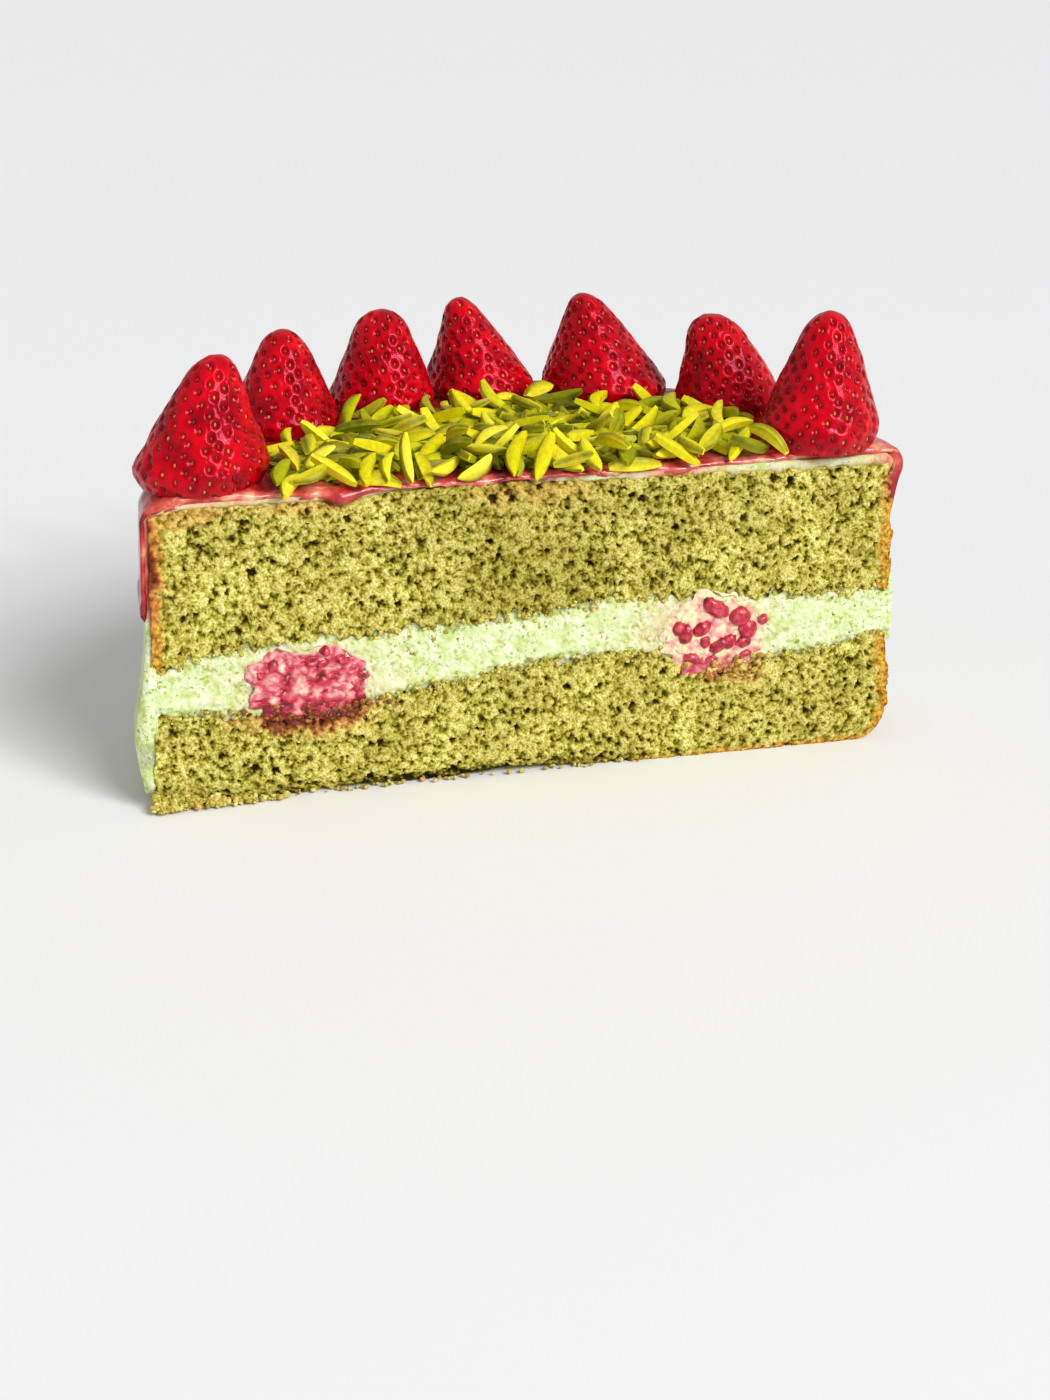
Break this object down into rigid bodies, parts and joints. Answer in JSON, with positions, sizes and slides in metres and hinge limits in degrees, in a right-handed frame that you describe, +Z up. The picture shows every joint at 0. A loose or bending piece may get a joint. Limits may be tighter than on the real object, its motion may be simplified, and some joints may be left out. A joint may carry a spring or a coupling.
{
  "type": "half of a round layered sponge cake",
  "caption": "Half of a round green sponge cake with a cream filling and coat, raspberries at the cut, red glaze, a ring of strawberries and a heap of slivered pistachios.",
  "frame": {"origin": "middle of the footprint, at the height of the flat base", "axes": "+X to the right along the cut face, +Y from the cut face towards the round side, +Z up"},
  "size_m": [0.1794, 0.0944, 0.1044],
  "materials": {
    "sponge": "matt open crumb",
    "cream": "soft satin",
    "glaze": "wet gloss",
    "raspberry": "moist gloss",
    "strawberry": "wet gloss",
    "pistachio": "satin"
  },
  "bodies": {
    "root": {"sponge_bottom": "sponge", "cream_filling": "cream", "sponge_top": "sponge", "cream_coat": "cream", "glaze": "glaze", "raspberry_left": "raspberry", "raspberry_right": "raspberry", "strawberry_1": "strawberry", "strawberry_2": "strawberry", "strawberry_3": "strawberry", "strawberry_4": "strawberry", "strawberry_5": "strawberry", "strawberry_6": "strawberry", "strawberry_7": "strawberry", "pistachios": "pistachio"}
  },
  "joints": []
}
